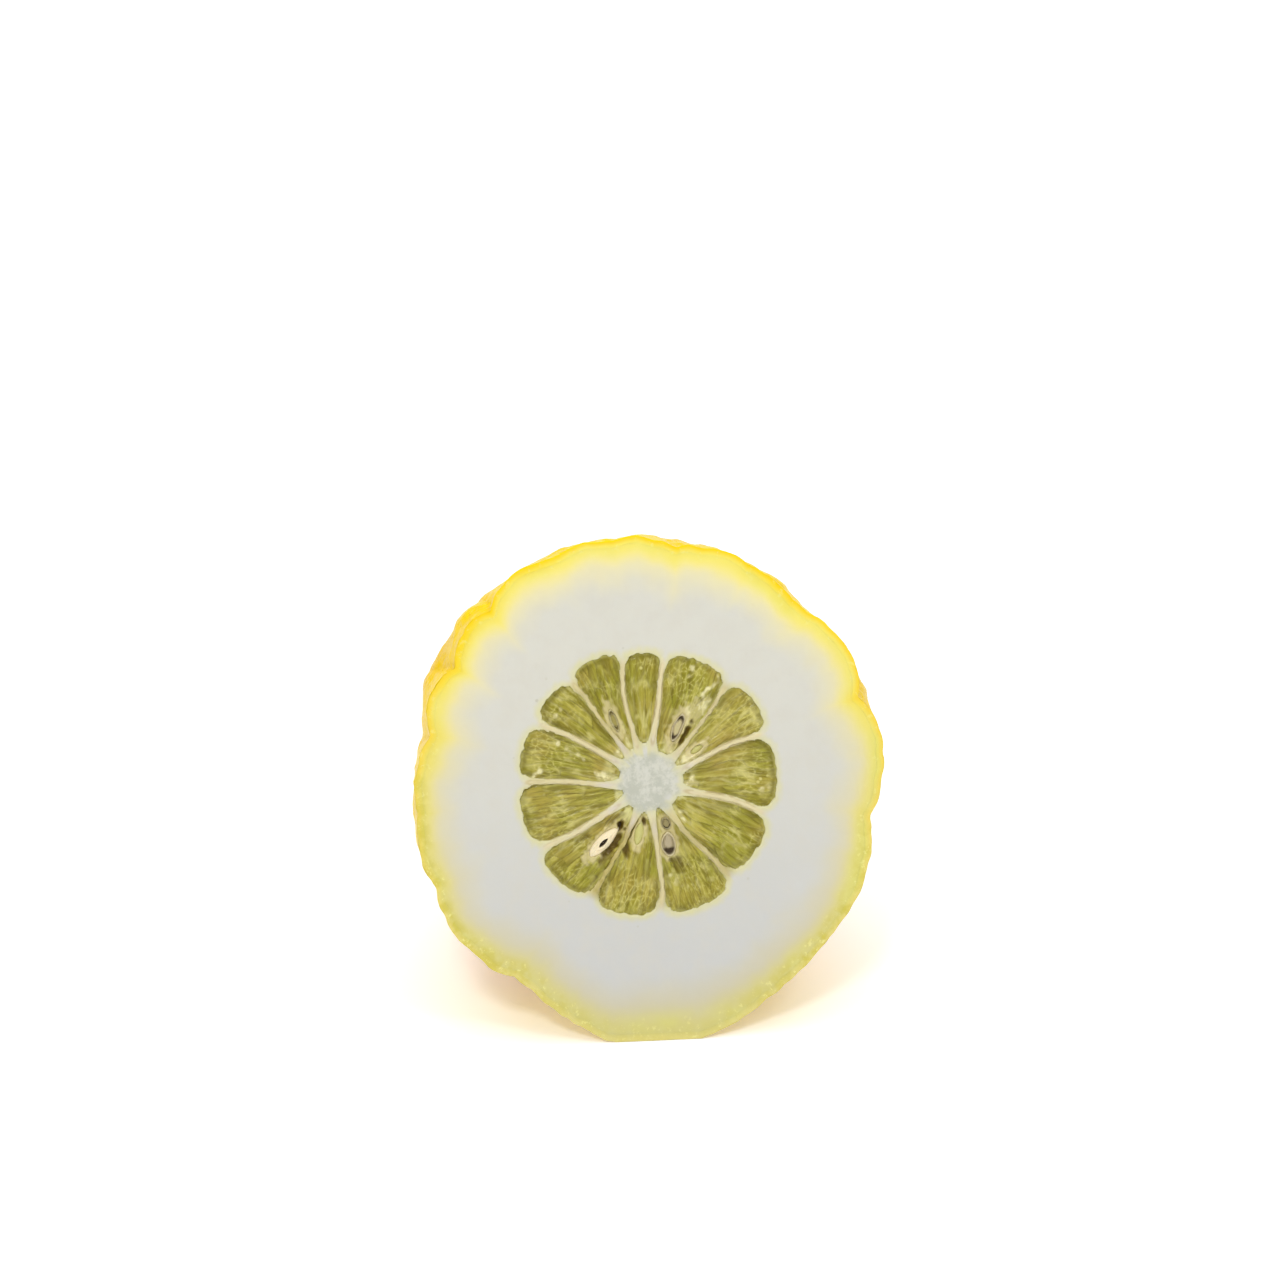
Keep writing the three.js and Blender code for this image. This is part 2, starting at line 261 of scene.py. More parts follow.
rind = {
    "thickness": 1.6,
    "lap": 0.45,  # how far its inner edge laps over the pith
    # Furrows: angle at the rim, depth and half width, the angles in degrees.
    "furrows": (
        (20, 2.2, 7), (48, 1.6, 8), (82, 1.6, 6), (109, 0.5, 5), (131, 1.5, 6), (147, 1.9, 6),
        (166, 2.1, 6), (203, 0.8, 6), (239, 2.2, 10), (313, 1, 12), (348, 2.5, 9),
    ),
    "furrowPoint": 1.4,
    "furrowWander": 5,
    # Creases: finer furrows that start at the rim and fade within a few centimetres.
    "creases": (
        (20, 0.5, 1.6), (50, 0.4, 2.2), (81.5, 0.7, 1.8), (110, 0.5, 1.8), (131, 1.1, 2), (147.5, 1, 1.8),
        (165.5, 0.6, 1.8), (186, 0.4, 1.5), (205, 0.4, 1.6), (234, 0.6, 1.8), (302, 0.4, 1.5),
        (349, 0.5, 2), (5, 0.3, 1.5), (64, 0.3, 1.4), (97, 0.3, 1.5),
    ),
    "creaseLength": 26,
    # Swellings: angle, depth behind the face, radius and rise.
    "swellings": (
        (82, 13, 11, 0.9), (131, 13, 10, 1.7), (152, 14, 9, 1.6), (22, 16, 12, 1.8), (350, 15, 11, 1.4),
        (200, 40, 15, 1), (270, 24, 14, -3.4), (270, 46, 14, 1.2),
    ),
    "unripe": ((222, 34, 1), (318, 30, 1), (185, 16, 0.5)),  # angle, half width in degrees, how much
    "warts": 44,
    "wartRise": 1.5,
    "wartRadius": 8,
    "pebbleRise": 0.15,
    "knobRise": 0.55,
    # Cracks that run from the stem button: angle, depth, half width and how far out they reach.
    "cracks": ((118, 1, 0.5, 17), (47, 0.8, 0.4, 11), (200, 0.5, 0.4, 12)),
    "skinRows": 138,
    "innerRows": 12,
    "innerLatitude": 0.03,  # where the inside begins, in radians behind the face
}


def rimRadius(angle):
    # A smooth closed curve through the rim's evenly spaced radii (Catmull-Rom).
    values = np.array(fruit["rimRadii"])
    count = len(values)
    spot = angle / (2 * np.pi) % 1 * count
    first = np.floor(spot).astype(int)
    t = spot - first
    a, b, c, d = (values[(first + k) % count] for k in (-1, 0, 1, 2))
    return b + 0.5 * t * (c - a + t * (2 * a - 5 * b + 4 * c - d + t * (3 * (b - c) + d - a)))


def bodyPoint(angle, latitude):
    # The smooth body: radius times cos(latitude), at a depth of the half length times sin(latitude).
    depth = fruit["halfLength"] * np.sin(latitude)
    outline = rimRadius(angle) - fruit["roundRadius"]
    radius = (fruit["roundRadius"] + outline * np.exp(-depth / fruit["outlineFade"])) * np.cos(latitude)
    return stacked(*around(radius, angle), -depth)


def degreesFrom(angle, centre):
    return (np.degrees(angle) - centre + 540) % 360 - 180


def furrowDepth(angle, latitude):
    # A sum of creased bells across the angle, which wander and fade towards the stem end.
    depth = fruit["halfLength"] * np.sin(latitude)
    along = (0.65 + 0.35 * np.cos(depth / 9)) * np.cos(latitude)
    total = np.zeros_like(depth + angle)
    for centre, low, width in rind["furrows"]:
        wander = rind["furrowWander"] * np.sin(depth / 14) * math.sin(centre)
        off = np.abs(degreesFrom(angle, centre + wander)) / width
        total += low * along * np.exp(-(off ** rind["furrowPoint"]))
    return total


def creaseDepth(angle, latitude):
    # The same, narrower, and fading exponentially behind the rim.
    depth = fruit["halfLength"] * np.sin(latitude)
    total = np.zeros_like(depth + angle)
    for number, (centre, low, width) in enumerate(rind["creases"]):
        wander = 3 * np.sin(depth / 7 + number)
        off = np.abs(degreesFrom(angle, centre + wander - 3 * math.sin(number))) / width
        total += low * np.exp(-depth / rind["creaseLength"]) * np.exp(-(off ** 1.3))
    return total


def crackDepth(angle, latitude):
    # A narrow bell across each crack, between the button and the crack's end, with a slight wander.
    radius = fruit["roundRadius"] * np.cos(latitude)
    total = np.zeros_like(radius + angle)
    for centre, low, width, reach in rind["cracks"]:
        off = np.radians(degreesFrom(angle, centre + 5 * np.sin(radius / 2.2))) * radius / width
        total += low * bell(off, 1) * ease(3, 5, radius) * (1 - ease(0.6 * reach, reach, radius))
    return total * ease(0.9, 1.1, latitude)


def skinRise(body):
    # Bells round the swellings' and warts' centres. Warts stay clear of the rim and of the stem button.
    total = np.zeros(body.shape[:-1])
    for angle, depth, radius, rise in rind["swellings"]:
        centre = bodyPoint(np.radians(angle), np.arcsin(depth / fruit["halfLength"]))
        total += rise * bell(np.linalg.norm(body - centre, axis=-1), radius)
    warty = np.zeros(body.shape[:-1])
    goldenAngle = math.radians(137.508)
    for index in range(rind["warts"]):
        latitude = math.asin((index + 0.5) / rind["warts"])
        centre = bodyPoint(np.array(index * goldenAngle), np.array(latitude))
        size = 0.5 + 0.5 * abs(math.sin(2.4 * index))
        radius = rind["wartRadius"] * (0.6 + 0.4 * size)
        warty += rind["wartRise"] * size * bell(np.linalg.norm(body - centre, axis=-1), radius)
    share = (1 - bell(body[..., 2], 9)) * (1 - bell(np.hypot(body[..., 0], body[..., 1]), 15))
    return total + warty * share


def fineRelief(body, angle, latitude):
    # Pebbles of three sizes, lengthwise wrinkles, and ridges that run in to the stem button.
    radius = np.hypot(body[..., 0], body[..., 1])
    rise = rind["pebbleRise"]
    pebbles = rise * (waves(body, 9, 24, 3) + 0.7 * waves(body, 4.5, 30, 4) + 0.35 * waves(body, 2.4, 36, 5))
    pebbles += rind["knobRise"] * waves(body * (1, 1, 0.6), 17, 20, 8) * ease(2, 16, -body[..., 2])
    lengthwise = stacked(angle * 50, body[..., 2] * 0.16, np.sin(angle) * 9)
    wrinkles = 0.25 * (1 - np.abs(waves(lengthwise, 7, 14, 6))) * np.cos(latitude)
    ridges = 0.7 * np.cos(10 * angle + 1.2 * np.sin(3 * angle)) * bell(radius - 11, 6) * np.sin(latitude)
    return pebbles + wrinkles + ridges - creaseDepth(angle, latitude) - crackDepth(angle, latitude)


def skinPoint(angle, latitude, inset, detail=1):
    # The body pushed out along its latitude by the relief, less the inset, and never below the floor.
    angle, latitude = np.broadcast_arrays(angle, latitude)
    body = bodyPoint(angle, latitude)
    push = skinRise(body) - furrowDepth(angle, latitude) + detail * fineRelief(body, angle, latitude) - inset
    share = np.sin(latitude) ** 2
    radius = np.hypot(body[..., 0], body[..., 1])
    hollow = fruit["dimpleDepth"] * bell(radius, fruit["dimpleRadius"]) * share
    z = body[..., 2] - push * np.sin(latitude) + hollow
    x, y = around(push * np.cos(latitude), angle)
    x, y = body[..., 0] + x + stemX * share, body[..., 1] + y + stemY * share
    lowest = (inset - fruit["coreHeight"] - z * math.sin(tilt)) / math.cos(tilt)
    return stacked(x, np.maximum(y, lowest), z)


face = {
    # Walls between segments, anticlockwise: the angle at the core and at the outer end and the bend between
    # them, in degrees, half the wall's thickness, and how pale it is, from 0, like the pulp, to 1.
    "walls": (
        (19.5, 21, 2.5, 0.4, 1), (42.5, 49.3, 1, 0.38, 0.7), (83.3, 81.9, -0.9, 0.48, 1),
        (106.3, 100.8, 1.3, 0.4, 0.85), (125.6, 125.4, 0, 0.4, 0.6), (145.2, 149.4, 0.2, 0.48, 0.9),
        (183.5, 178.6, -3.2, 0.48, 0.85), (216, 210.5, 0, 0.58, 1), (247, 242, 0.4, 0.42, 0.3),
        (273.8, 274.3, 2.2, 0.46, 0.8), (302.5, 309.5, 0, 0.5, 0.55), (343.5, 342.3, 2.8, 0.6, 1),
    ),
    # Where each segment starts and ends, from the middle of the core.
    "start": (7.2, 7.2, 8.8, 8.1, 7.8, 6.7, 6.2, 6.4, 6.9, 6.3, 7.1, 7.6),
    "reach": (28.4, 28.2, 27.9, 29, 28.3, 28, 28, 28.7, 29.2, 29.5, 27.8, 27.7),
    "coreRadius": 7.2,
    "wallEnd": 27,
    "wallFlare": 0.45,  # a wall is this share thicker where it joins the core
    "wallWander": 0.14,
    "squareness": (4.2, 4.4),  # of a segment's inner and outer ends
    "segmentDepth": 46,
    "segmentEdge": 1.6,
    "columns": 50,  # for each segment
    "wallRise": 0.22,
    "scallop": 0.16,  # how uneven the segments' outlines are
}
segments = len(face["walls"])
walls = np.array(face["walls"])
walls = np.vstack([walls, walls[0] + (360, 360, 0, 0, 0)])  # the first wall again, a full turn on
coreAngles, outerAngles, wallBends, wallHalves, wallPaleness = walls.T
starts, reaches = np.array(face["start"]), np.array(face["reach"])


def wallAngle(index, radius):
    # From the wall's angle at the core to the one at its outer end, in proportion to the radius, with a
    # parabola for its bend and a slight wander.
    share = np.clip((radius - face["coreRadius"]) / (face["wallEnd"] - face["coreRadius"]), 0, 1)
    bend = wallBends[index] * 4 * share * (1 - share)
    wander = face["wallWander"] * np.sin(radius / 2.1 + 1.7 * (index % segments)) * share ** 0.5 / 18
    return coreAngles[index] + (outerAngles[index] - coreAngles[index]) * share + bend + np.degrees(wander)


def wallMargin(index, radius):
    thick = wallHalves[index] * (1 + face["wallFlare"] * np.exp(-np.maximum(radius - 7, 0) / 2.5))
    return np.degrees(thick / np.maximum(radius, 2))


def petalSpan(index, radius):
    # A segment's middle angle and half its angular width at a radius, clear of its two walls.
    low = wallAngle(index, radius) + wallMargin(index, radius)
    high = wallAngle(index + 1, radius) - wallMargin(index + 1, radius)
    return (low + high) / 2, np.maximum((high - low) / 2, 1)


def squareness(along):
    return np.where(along > 0, face["squareness"][1], face["squareness"][0])


def petalDistance(index, radius, degrees):
    # Millimetres in from a segment's outline, less than 0 outside it. The outline is a squared oval in
    # across and along, and the distance is one less the oval's value over that value's slope.
    middle, half = petalSpan(index, radius)
    inner, outer = starts[index], reaches[index]
    across = np.abs(degrees - middle) / half
    along = 2 * (radius - inner) / (outer - inner) - 1
    power = squareness(along)
    along = np.abs(along)
    oval = np.maximum((across ** power + along ** power) ** (1 / power), 1e-4)
    slopeAcross = (across / oval) ** (power - 1) / (np.radians(half) * np.maximum(radius, 2))
    slopeAlong = (along / oval) ** (power - 1) / ((outer - inner) / 2)
    return (1 - oval) / np.hypot(slopeAcross, slopeAlong)


def floorBelow(index, radius):
    # A quarter oval that rises from under the core to the segment's outer end.
    share = np.sqrt(np.clip(1 - (radius / reaches[index]) ** 2, 0, 1))
    return -face["segmentEdge"] - (face["segmentDepth"] - face["segmentEdge"]) * share


def faceRelief(flat):
    # The knife's slight waviness and the pith's soft grain.
    return 0.13 * waves(flat, 22, 12, 11) + 0.04 * waves(flat, 6, 20, 12) + 0.02 * waves(flat, 2.2, 30, 13)


columnShare = np.linspace(0, 1, face["columns"], endpoint=False)
columnShare = 0.45 * columnShare + 0.55 * (1 - np.cos(np.pi * columnShare)) / 2
columnSegment = np.repeat(np.arange(segments), face["columns"])
columnShare = np.tile(columnShare, segments)


def columnAngle(radius):
    # The mesh's lines follow the walls: each lies at a fixed share of the way between two of them.
    low, high = wallAngle(columnSegment, radius), wallAngle(columnSegment + 1, radius)
    return low + (high - low) * columnShare


rimAngle = np.radians(columnAngle(np.array(100)))
rimLatitude = np.zeros_like(rimAngle)
rimPoint = skinPoint(rimAngle, rimLatitude, 0)
rimDistance = np.hypot(rimPoint[..., 0], rimPoint[..., 1])
rimCrease = creaseDepth(rimAngle, rimLatitude) + furrowDepth(rimAngle, rimLatitude) * 0.5
# The rim is less ripe on its underside, where it is mottled with olive.
rimUnripe = sum(share * bell(degreesFrom(rimAngle, centre), width) for centre, width, share in rind["unripe"])


def onFace(inset, drop=0):
    # A ring in the cut face at the given distance in from the skin.
    points = skinPoint(rimAngle, rimLatitude, inset)
    points[..., 2] = faceRelief(points[..., :2]) - drop
    return points


def rindRings():
    # Skin from the stem end to the rim, the rounded edge, the cut edge, and back along the inside.
    toRim = 1 - np.linspace(0, 1, rind["skinRows"])[:, None]
    latitude = 0.003 + (np.pi / 2 - 0.003) * (0.6 * toRim + 0.4 * toRim ** 2)
    skin = skinPoint(rimAngle, latitude, 0)
    steps = np.array([0.03, 0.12, 0.3, 0.6, 0.9, 1.2, 1.5, 1.58, 1.6, 1.61])
    drops = (0.1, 0.03, 0, 0, 0, 0, 0, 0.01, 0.06, 0.4)
    edge = [onFace(step, drop) for step, drop in zip(steps, drops)]
    inside = np.linspace(rind["innerLatitude"], np.pi / 2, rind["innerRows"])[:, None]
    inner = skinPoint(rimAngle, inside, rind["thickness"], 0.4)
    rings = np.concatenate([skin, np.stack(edge), inner])
    rest = len(rings) - len(skin)
    furrow = furrowDepth(rimAngle, latitude) + 1.3 * creaseDepth(rimAngle, latitude)
    fromStem = np.hypot(rings[..., 0] - stemX, rings[..., 1] - stemY)
    values = extended({"toRim": -skin[..., 2], "crack": crackDepth(rimAngle, latitude)}, rest, {})
    values["unripe"] = rimUnripe * np.exp(-values["toRim"] / 9)
    values["furrow"] = np.concatenate([furrow, np.broadcast_to(rimCrease, (rest, len(rimCrease)))])
    values["fromStem"] = np.where(rings[..., 2] < -fruit["halfLength"] / 2, fromStem, 99)
    values["cut"] = (np.arange(len(rings)) >= len(skin))[:, None]
    depth = [np.zeros(len(skin)), steps, np.full(len(inner), rind["thickness"])]
    values["skinDepth"] = np.concatenate(depth)[:, None]
    return rings, values


pith = {
    "coreRows": 14,
    "coreRadius": 7.5,
    "pulpRows": 40,
    "endsRows": 16,  # finer rows across the segments' outer ends
    "endsBefore": 1.6,
    "endsBeyond": 1.2,
    "whiteRows": 42,
    "backRows": 12,
}


def pithRings():
    # The cut face from the core outwards, then back along the inside of the rind to the stem end.
    reach = np.interp(np.degrees(rimAngle) % 360, (outerAngles[:-1] + outerAngles[1:]) / 2 % 360,
                      reaches, period=360)
    outer = rimDistance - rind["thickness"] + rind["lap"]
    before, beyond = reach - pith["endsBefore"], reach + pith["endsBeyond"]
    share = np.linspace(0, 1, pith["whiteRows"])[:, None]
    radius = np.concatenate([
        spread(0 * reach, pith["coreRadius"], pith["coreRows"]),
        spread(pith["coreRadius"], before, pith["pulpRows"]),
        spread(before, beyond, pith["endsRows"]),
        beyond + (1.5 * share - 0.5 * share ** 2) * (outer - beyond),
    ])
    degrees = columnAngle(radius)
    x, y = around(radius, np.radians(degrees))
    flat = stacked(x, y)
    scallop = face["scallop"] * waves(flat, 1.9, 30, 26) * ease(9, 13, radius)
    inPetal = petalDistance(columnSegment, radius, degrees) + scallop
    inPetal -= 4 * (1 - ease(4, 5.6, radius))
    width = wallAngle(columnSegment + 1, radius) - wallAngle(columnSegment, radius)
    offWall = np.radians(np.minimum(columnShare, 1 - columnShare) * width) * radius
    between = ease(6, 10, radius) * (1 - ease(reach - 3, reach - 0.2, radius))
    coreness = 1 - ease(5.2, 7.4, radius + 0.8 * waves(flat, 4, 14, 21))
    septum = bell(offWall, 0.6) * between
    faint = (1 - wallPaleness[columnSegment + (columnShare > 0.5)]) * between
    toRind = rimDistance - radius
    height = faceRelief(flat) - 0.06 * ease(rind["thickness"] + 0.25, rind["thickness"] - 0.3, toRind)
    height += face["wallRise"] * (1 + 0.5 * waves(flat, 5, 16, 22)) * septum
    height += 0.07 * bell(inPetal + 0.3, 0.35) * (0.7 + 0.5 * waves(flat, 3, 20, 23))
    height += coreness * (0.08 + 0.02 * waves(flat, 2, 30, 24))
    height += floorBelow(columnSegment, radius) * ease(0.02, 0.4, inPetal)
    latitude = np.linspace(rind["innerLatitude"], np.pi / 2, pith["backRows"])[:, None]
    back = skinPoint(rimAngle, latitude, rind["thickness"] + 0.3, 0.4)
    values = {
        "skinDepth": toRind,
        "inPetal": np.clip(inPetal, -4, 4),
        "septum": septum,
        "faint": faint,
        "coreness": coreness,
        "furrow": np.broadcast_to(rimCrease, radius.shape),
        "unripe": np.broadcast_to(rimUnripe, radius.shape),
        "out": radius,
    }
    values = extended(values, len(back), {"skinDepth": 2, "inPetal": -4, "out": 99})
    return np.concatenate([stacked(x, y, height), back]), values


pulp = {
    "columns": 300,  # round each segment's outline
    "rings": 62,  # from its middle to its outline
    "sink": 0.2,  # below the cut face
    "grow": 0.25,  # into the walls, so that no gap shows
    "sacWidth": 1.5,
    "sacLength": 7.5,
    "sacRise": 0.2,
    "sacSpread": 0.2,  # how much neighbouring sacs differ in height
    "sacFan": 20,  # the radius where a sac has its full width
}
seedShape = {
    "columns": 90,
    "rows": 30,
    "taper": 0.32,  # how much slimmer the end towards the core is
    "tallness": 0.95,  # half the height against half the width
    "crownAngle": 66,  # degrees above the middle where the side starts
    "sink": 0.9,
    "grooveDepth": 0.8,
    "levelDepth": 0.12,
}


def ovals(names, rows):
    # A dictionary for each row: the middle, length, width and direction of an oval in the face and the number
    # of its segment, then the named values.
    return [dict(zip(("x", "y", "long", "wide", "angle", "segment", *names), row)) for row in rows]


# Seeds: also the top above the face, the size of the opening that the knife made and of the kernel in it, how
# far the kernel lies towards the core, where the gap round it is dark with painted shade, and the finish.
seeds = ovals(("top", "open", "kernel", "shift", "dark", "finish"), (
    (6.5, 11.5, 7.4, 2.5, 66, 1, 0.15, 0.84, 0.6, 0, "ends", "openSeed"),
    (-10.1, -12.8, 9.2, 3.1, 44, 7, 0.5, 0.3, 0, 0, "all", "slitSeed"),
    (3.95, -13.7, 5.8, 3.5, 95, 9, 0.25, 0.88, 0.6, 0.22, "outer", "greySeed"),
    (3.5, -9.1, 3.1, 2.4, 108, 9, 0.15, 0.84, 0.66, -0.1, "outer", "smallSeed"),
    (-7.1, 13.5, 6.2, 1.9, 110, 3, 0, 0.8, 0.6, 0, "ends", "thinSeed"),
    (10.5, 6.7, 4, 1.7, 34, 0, 0.4, 0, 0, 0, "all", "greenSeed"),
    (-2.4, -11.2, 5.8, 2.2, 78, 8, 0.45, 0, 0, 0, "all", "greenSeed"),
))
# Empty places beside the seeds: also how deep, and how strong the painted shadow in them is.
hollows = ovals(("depth", "shadowAmount"), (
    (8.2, 10.2, 5.8, 0.9, 60, 1, 0.8, 0.75), (12.3, 17.6, 4.4, 0.5, 44, 1, 0.3, 0.35),
    (-8.1, -13.3, 7.4, 2.4, 50, 7, 0.8, 0.52), (-6.4, -9.3, 2.6, 1.2, 68, 7, 1.2, 0.95),
    (-9.4, -15.6, 6, 3, 51, 7, 0.12, 0.44), (-7.7, -7.6, 6.6, 1.9, 33, 7, 0.3, 0.36),
    (-13.9, -11.6, 6.2, 1.3, 29, 7, 0.4, 0.26), (-3.7, -9.8, 3.4, 0.6, 64, 8, 0.8, 0.75),
    (-1.2, -8.7, 2.2, 0.9, 106, 8, 0.8, 0.62), (-5.2, -14.6, 4.4, 2, 100, 8, 0.6, 0.46),
    (6, -18.4, 6, 3.2, 117, 9, 0.5, 0.05), (-3.4, 27, 1.6, 0.7, 178, 2, 0.3, 0.5),
))
# Pale folds of membrane in the pulp: also how pale.
folds = ovals(("pale",), (
    (10.2, 14.4, 9.5, 3.2, 50, 1, 0.8), (11.2, 17.8, 6.8, 0.8, 41, 1, 0.9),
    (10.4, 24.4, 3.2, 0.7, 56, 1, 0.7), (4.3, 6.9, 2.6, 1.2, 100, 1, 0.9),
    (9.2, 5.4, 5.8, 2.2, 41, 0, 1), (9.2, -0.4, 3, 1.7, 8, 11, 1),
    (24.8, -2.4, 2, 0.8, 4, 11, 0.8), (-9.3, 1.3, 4.2, 1.8, 160, 5, 1),
    (-24, 2.5, 5.6, 0.8, 41, 5, 0.9), (-16.3, 7.1, 4.6, 0.6, 144, 5, 0.7),
    (-6.2, 6.3, 3, 1.3, 80, 4, 0.8), (-20.2, 14.4, 2.8, 0.6, 43, 4, 0.8),
    (-4.4, 9.4, 6.6, 0.8, 113, 3, 0.6), (-2.6, -11, 5.4, 3.6, 80, 8, 0.65),
    (5.7, -21.9, 2.2, 1, 135, 9, 0.8), (7, -7.7, 3.4, 1.3, 122, 10, 0.9),
))


def ovalDistance(oval, x, y):
    # How far a point lies outside an oval, near its long sides in millimetres, and less than 0 within it.
    along, across = turned(x - oval["x"], y - oval["y"], -math.radians(oval["angle"]))
    long, wide = oval["long"] / 2, oval["wide"] / 2
    return (np.hypot(along / long, across / wide) - 1) * wide


def petalPoint(index, across, along):
    # From a segment's across and along, each -1 to 1, to the face's x and y, with the radius and the angle
    # from its middle. It is grown by a little on all sides.
    inner, outer = starts[index] - pulp["grow"], reaches[index] + pulp["grow"]
    radius = inner + (outer - inner) * (1 + along) / 2
    middle, half = petalSpan(index, radius)
    off = across * (half + np.degrees(pulp["grow"] / radius))
    return *around(radius, np.radians(middle + off)), radius, off


def petalOutline(index):
    # The squared oval's across and along, at even steps of its length.
    turn = np.linspace(0, 2 * np.pi, 4001)
    across, along = around(1, turn)
    power = 2 / squareness(along)
    across, along = -np.sign(across) * np.abs(across) ** power, np.sign(along) * np.abs(along) ** power
    x, y = petalPoint(index, across, along)[:2]
    return evenly(x, y, (across, along), pulp["columns"], closed=True)


def sacCells(index, fan, radius, flat):
    # The juice sacs lie lengthwise and fan out from the core. Each is the part of the pulp that is nearest to
    # its own centre, where lengths along the sac count for less than widths.
    draw = np.random.default_rng(100 + index)
    bent = 0.13 * waves(flat, 7, 12, 31 + index) + 0.02 * waves(flat, 1.8, 20, 41 + index)
    spot = stacked(fan / pulp["sacWidth"] + bent, radius / pulp["sacLength"] + 0.5 * bent)
    wide = int(np.abs(spot[..., 0]).max()) + 2
    across, along = np.meshgrid(np.arange(-wide, wide + 1), np.arange(0, 6), indexing="ij")
    centres = stacked(across, along + 0.5 * (across % 2)).reshape(-1, 2)
    centres += draw.uniform(-0.45, 0.45, centres.shape)
    nearest, second, number = cells(spot, centres)
    own = draw.uniform(0, 1, len(centres))[number]
    return second - nearest, own, spot[..., 0] - centres[number, 0]


def pulpRings(index):
    # The juicy top from its middle to its outline, then walls down to the floor, which closes in the middle.
    outlineAcross, outlineAlong = petalOutline(index)
    share = np.linspace(0, 1, pulp["rings"])[:, None] ** 0.8
    x, y, radius, off = petalPoint(index, share * outlineAcross, share * outlineAlong)
    flat = stacked(x, y)
    middle, half = petalSpan(index, radius)
    inside = petalDistance(index, radius, middle + off)
    fan = np.radians(off) * (0.45 * radius + 0.55 * pulp["sacFan"])
    seam, own, side = sacCells(index, fan, radius, flat)
    dome = 1 - np.exp(-((seam / 0.55) ** 2))
    streak = waves(stacked(fan * 3.2, radius * 0.35), 3, 24, 71 + index)
    beside = np.radians(half - np.abs(off)) * radius + 0.5 * (1 - wallPaleness[index + (off > 0)])
    top = -pulp["sink"] + pulp["sacRise"] * (dome - 0.6) + pulp["sacSpread"] * (own - 0.5) + 0.03 * streak
    top += 0.08 * waves(flat, 7, 10, 91 + index) - 0.06 * (1 - ease(0, 1.1, inside))
    hollow, shadowAmount, lip, pale = np.zeros((4, *top.shape))
    seedsHere, hollowsHere, foldsHere = ([oval for oval in kind if oval["segment"] == index]
                                         for kind in (seeds, hollows, folds))
    for seed in seedsHere:
        away = ovalDistance(seed, x, y)
        hollow = np.maximum(hollow, 1.4 * (1 - ease(-0.5, -0.1, away)))
        lip = np.maximum(lip, 1 - ease(0.1, 0.9, away + 0.25 * waves(flat, 1.6, 20, 82)))
    for empty in hollowsHere:
        away = ovalDistance(empty, x, y) + (0.06 + 0.06 * empty["wide"]) * waves(flat, 1.8, 20, 81)
        rounding = 0.2 + 0.25 * empty["wide"]
        hollow = np.maximum(hollow, empty["depth"] * (1 - ease(-rounding, 0.3, away)))
        shadowAmount = np.maximum(shadowAmount, empty["shadowAmount"] * (1 - ease(-0.7, 0.6, away)))
    for fold in foldsHere:
        away = ovalDistance(fold, x, y) + 0.35 * waves(flat, 1.8, 20, 83)
        pale = np.maximum(pale, fold["pale"] * (1 - ease(-0.5, 0.4, away)))
    top += (0.12 * lip + 0.1 * pale) * (1 - ease(0, 0.3, hollow)) - hollow
    floor = floorBelow(index, radius[-1])
    down = [stacked(x[-1], y[-1], top[-1] + (floor - top[-1]) * step) for step in (0.04, 0.3, 1)]
    for shrink in (0.5, 0):
        innerX, innerY, innerRadius, _ = petalPoint(index, shrink * outlineAcross, shrink * outlineAlong)
        down.append(stacked(innerX, innerY, floorBelow(index, innerRadius)))
    values = {"sac": own, "seam": seam, "side": side, "inside": inside, "hollow": hollow, "shadowAmount": shadowAmount,
              "lip": lip, "pale": pale, "fan": fan, "out": radius, "beside": beside}
    rings = np.concatenate([stacked(x, y, top), np.stack(down)])
    return rings, extended(values, len(down), {"sac": 0.5, "seam": 0.5})


